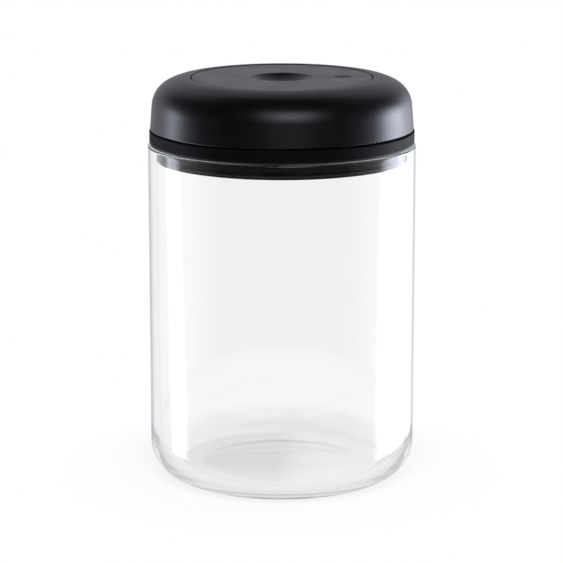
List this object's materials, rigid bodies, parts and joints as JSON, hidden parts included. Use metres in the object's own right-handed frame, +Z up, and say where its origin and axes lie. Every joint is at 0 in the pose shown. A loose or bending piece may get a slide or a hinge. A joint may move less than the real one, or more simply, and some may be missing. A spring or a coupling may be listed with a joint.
{
  "type": "vacuum seal canister",
  "caption": "Straight round clear glass storage jar with a black twist-cap lid that pumps air out, a dished release button and a small vacuum indicator.",
  "frame": {"origin": "centre of the standing face under the jar", "axes": "+Z up along the jar, +X from the axis to the vacuum indicator, the pictured front faces -Y"},
  "size_m": [0.119, 0.119, 0.181],
  "materials": {
    "jar_glass": "clear polished glass",
    "cap_plastic": "soft matte black",
    "base_plastic": "fine textured black",
    "seal_silicone": "moulded black silicone",
    "valve_silicone": "translucent silicone",
    "drive_plastic": "natural acetal",
    "pump_plastic": "moulded black",
    "steel": "bright stainless",
    "indicator_green": "gloss green",
    "lens_clear": "clear polished",
    "filter_felt": "pressed felt"
  },
  "bodies": {
    "jar": {"glass_jar": "jar_glass"},
    "lid": {"lid_base": "base_plastic", "lid_gasket": "seal_silicone", "bottom_cover": "base_plastic", "cover_screws": "steel", "filter_cap": "base_plastic", "filter_disc": "filter_felt", "intake_valves": "valve_silicone", "retainer_ring": "drive_plastic", "retainer_screws": "steel", "thrust_washer": "drive_plastic", "top_plate": "cap_plastic", "indicator_lens": "lens_clear", "indicator_sleeve": "indicator_green", "button_spring": "steel", "indicator_spring": "steel"},
    "cap": {"twist_cap": "cap_plastic", "cam_drum": "drive_plastic", "cap_screws": "steel"},
    "piston": {"pump_piston": "pump_plastic", "piston_outer_seal": "seal_silicone", "piston_inner_seal": "seal_silicone", "follower_pins": "steel", "follower_rollers": "drive_plastic", "outlet_valves": "valve_silicone"},
    "button": {"button_cap": "cap_plastic", "button_carrier": "pump_plastic", "valve_stem": "pump_plastic", "stem_clip": "steel", "poppet_seal": "seal_silicone"},
    "indicator": {"indicator_pin": "pump_plastic", "indicator_seal": "seal_silicone"}
  },
  "joints": [
    {"name": "lid_lift", "type": "slide", "parent": "jar", "child": "lid", "axis": [0, 0, 1], "range_m": [0, 0.12]},
    {"name": "cap_twist", "type": "hinge", "parent": "lid", "child": "cap", "pos_m": [0, 0, 0.165], "axis": [0, 0, 1], "range_deg": [0, 90]},
    {"name": "piston_stroke", "type": "slide", "parent": "lid", "child": "piston", "axis": [0, 0, 1], "range_m": [0, 0.007]},
    {"name": "button_press", "type": "slide", "parent": "lid", "child": "button", "axis": [0, 0, -1], "range_m": [0, 0.0025], "stiffness_N_per_m": 800, "springref_m": -0.002, "deforming": ["button_spring"]},
    {"name": "indicator_drop", "type": "slide", "parent": "lid", "child": "indicator", "axis": [0, 0, -1], "range_m": [0, 0.0025], "stiffness_N_per_m": 60, "springref_m": -0.001, "deforming": ["indicator_spring"]}
  ],
  "couplings": [
    {"joint": "piston_stroke", "follows": "cap_twist", "m_per_rad": 0.0044563}
  ]
}
